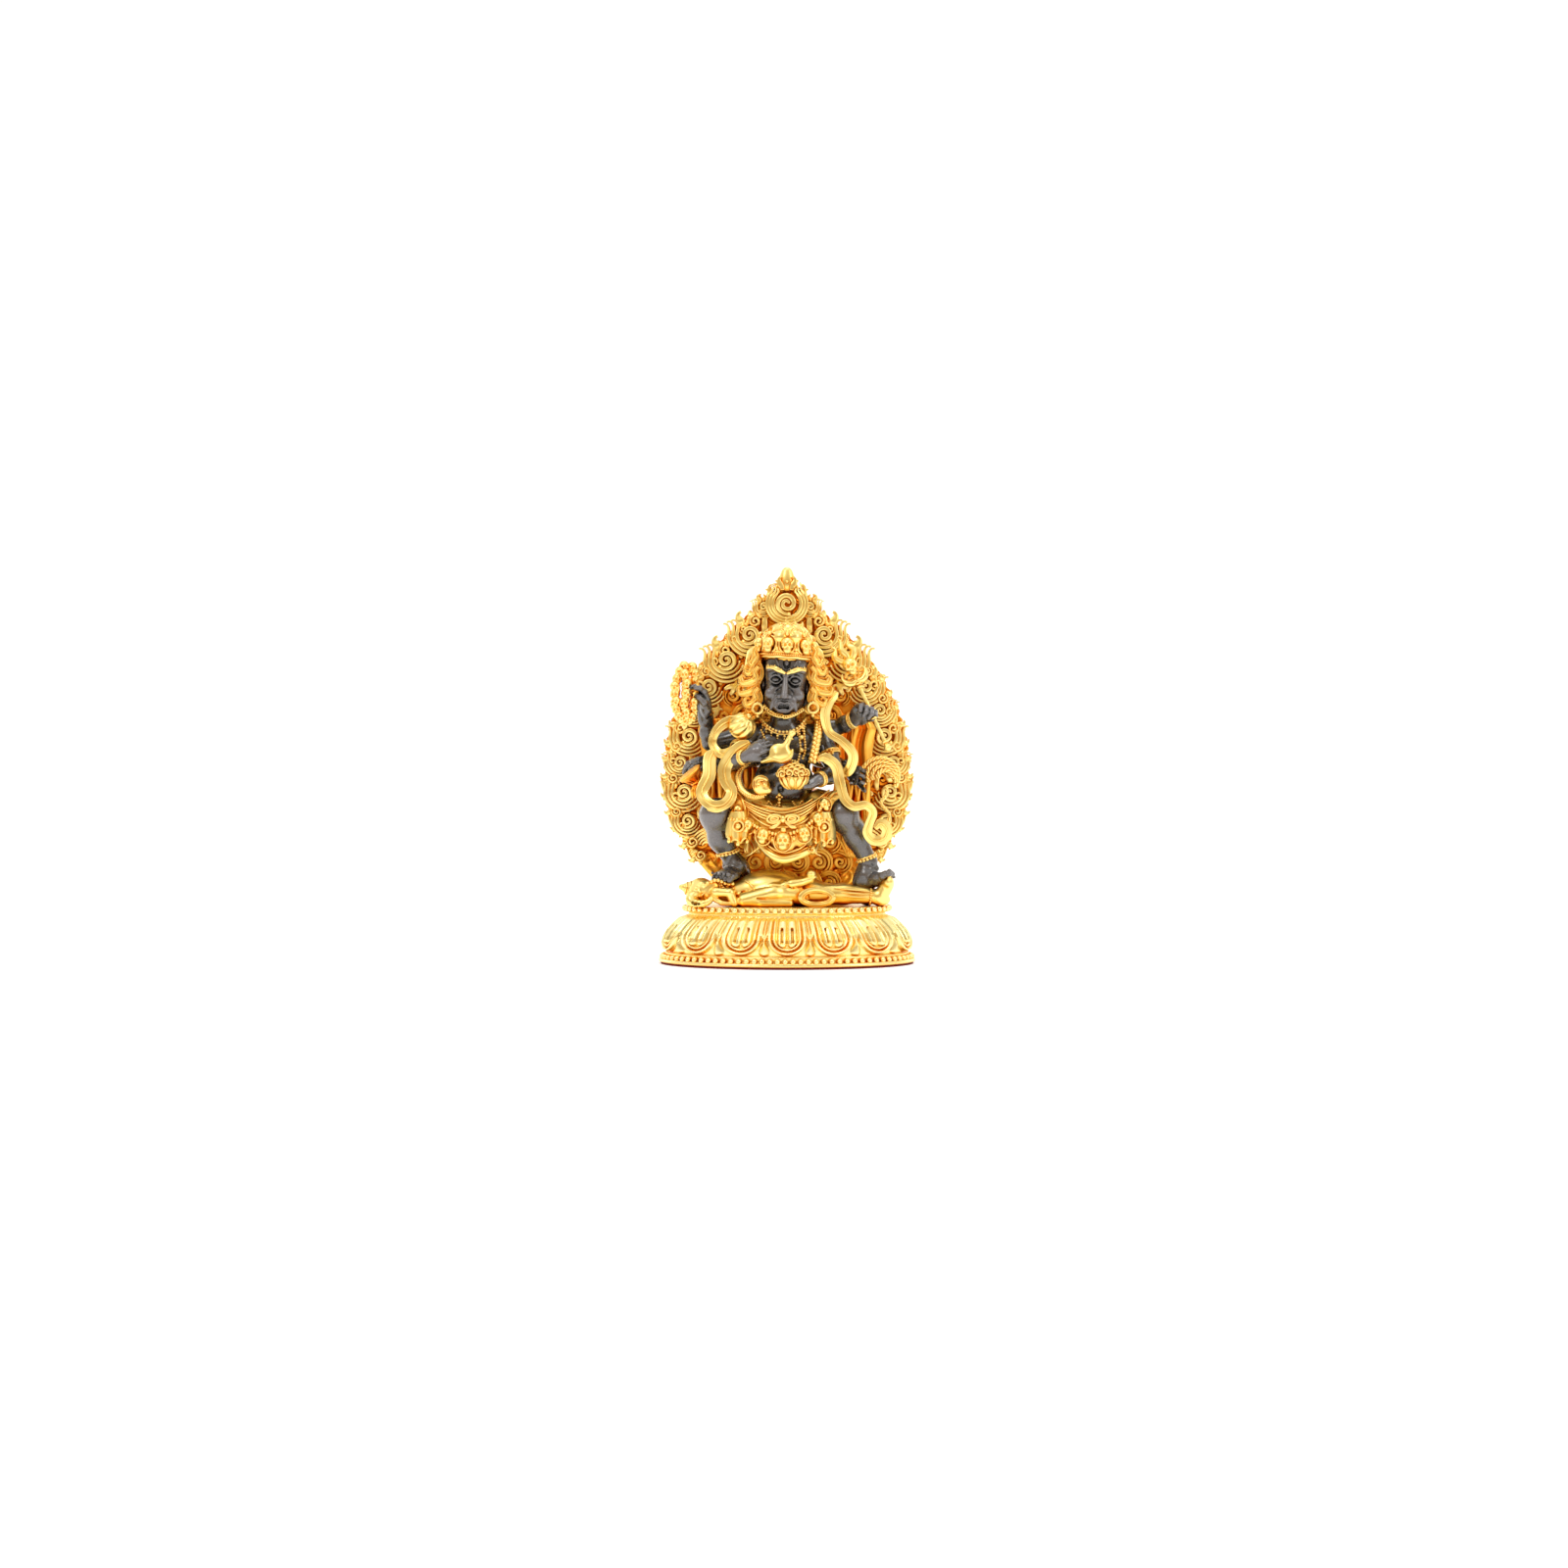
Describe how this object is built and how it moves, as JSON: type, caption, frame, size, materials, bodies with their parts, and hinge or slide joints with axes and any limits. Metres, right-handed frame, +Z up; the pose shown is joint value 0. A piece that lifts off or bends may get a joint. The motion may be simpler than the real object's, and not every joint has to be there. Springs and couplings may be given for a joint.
{
  "type": "guardian deity statuette",
  "caption": "Gilt brass statuette of a six-armed guardian on a prostrate elephant-headed figure, oval lotus base and lift-out flame aureole.",
  "frame": {"origin": "centre of the base's underside, where the felt rests", "axes": "+Z up, the figure faces -Y, +X is to the viewer's right"},
  "size_m": [0.0656, 0.044, 0.1],
  "materials": {
    "gilt_brass": "polished fire gilding, darker orange in the recesses",
    "bare_brass": "turned, unpolished",
    "black_lacquer": "semi-gloss black lacquer over cast brass",
    "red_felt": "pressed wool felt",
    "steel": "plain"
  },
  "bodies": {
    "statuette": {"felt_pad": "red_felt", "base_plate": "bare_brass", "lotus_base": "gilt_brass", "base_screws": "steel", "foot_pins": "steel", "torso": "black_lacquer", "right_leg": "black_lacquer", "left_leg": "black_lacquer", "head": "black_lacquer", "main_right_arm": "black_lacquer", "main_left_arm": "black_lacquer", "upper_right_arm": "black_lacquer", "upper_left_arm": "black_lacquer", "lower_right_arm": "black_lacquer", "lower_left_arm": "black_lacquer", "trident": "gilt_brass", "skull_cup": "gilt_brass", "flaying_knife": "gilt_brass", "hand_drum": "gilt_brass", "hair": "gilt_brass", "skull_crown": "gilt_brass", "earrings": "gilt_brass", "necklace": "gilt_brass", "bracelets": "gilt_brass", "armlets": "gilt_brass", "anklets": "gilt_brass", "skull_rosary": "gilt_brass", "noose": "gilt_brass", "tiger_skirt": "gilt_brass", "waist_sash": "gilt_brass", "head_garland": "gilt_brass", "skirt_tassels": "gilt_brass", "snake_girdle": "gilt_brass", "braided_sash": "gilt_brass", "right_scarf": "gilt_brass", "left_scarf": "gilt_brass", "right_hide": "gilt_brass", "left_hide": "gilt_brass", "prostrate_figure": "gilt_brass"},
    "aureole": {"flame_aureole": "gilt_brass", "crest_jewel": "gilt_brass"}
  },
  "joints": [
    {"name": "aureole_lift", "type": "slide", "parent": "statuette", "child": "aureole", "axis": [0, 0, 1], "range_m": [0, 0.008]}
  ]
}
